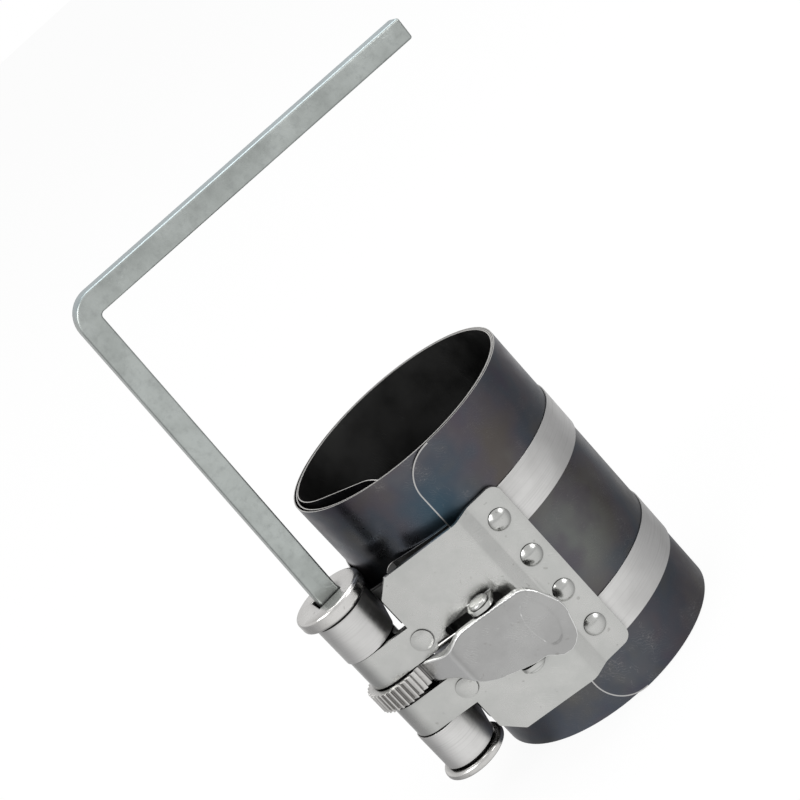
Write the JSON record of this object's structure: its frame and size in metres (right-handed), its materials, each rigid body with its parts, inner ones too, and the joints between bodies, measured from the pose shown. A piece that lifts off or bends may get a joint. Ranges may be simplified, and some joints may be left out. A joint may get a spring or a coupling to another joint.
{
  "type": "piston ring compressor",
  "caption": "Rolled spring steel sleeve that squeezes piston rings, closed by straps wound on a ratcheted spindle with a bent square key.",
  "frame": {"origin": "on the sleeve's axis, in the plane of its lower rim", "axes": "+Z along the sleeve's axis towards the end where the key goes in; the bracket and lever face -Y; the spindle stands at -X"},
  "size_m": [0.1206, 0.0811, 0.1708],
  "materials": {
    "blued_sheet": "blued spring steel sheet with temper colours and bright cut edges",
    "strap_steel": "satin rolled strap",
    "bright_plate": "bright plated pressed steel",
    "turned_steel": "plated turned steel",
    "zinc_bar": "zinc plated square bar",
    "spring_wire": "drawn spring wire"
  },
  "bodies": {
    "frame": {"sleeve": "blued_sheet", "bracket": "bright_plate", "back_plate": "turned_steel", "strap_upper": "strap_steel", "strap_lower": "strap_steel", "strap_rivet_upper": "bright_plate", "strap_rivet_lower": "bright_plate", "foot_rivet_upper": "bright_plate", "foot_rivet_lower": "bright_plate", "knuckle_rivet_upper": "bright_plate", "knuckle_rivet_lower": "bright_plate", "lever_pin": "bright_plate"},
    "spindle": {"spindle": "turned_steel", "end_flange": "turned_steel", "ratchet_wheel": "turned_steel", "coil_upper": "strap_steel", "coil_lower": "strap_steel"},
    "lever": {"pawl_lever": "bright_plate", "lever_spring": "spring_wire"},
    "key": {"key": "zinc_bar"}
  },
  "joints": [
    {"name": "spindle_turn", "type": "hinge", "parent": "frame", "child": "spindle", "pos_m": [-0.0428, -0.022, 0.042], "axis": [0, 0, 1], "range_deg": [-200, 1080]},
    {"name": "lever_press", "type": "hinge", "parent": "frame", "child": "lever", "pos_m": [-0.0152, -0.0403, 0.0398], "axis": [0, 0, 1], "range_deg": [0, 15], "stiffness_Nm_per_rad": 0.1, "springref_deg": -17.19},
    {"name": "key_slide", "type": "slide", "parent": "spindle", "child": "key", "axis": [0.043, 0.0076, 0.999], "range_m": [0, 0.06]}
  ]
}
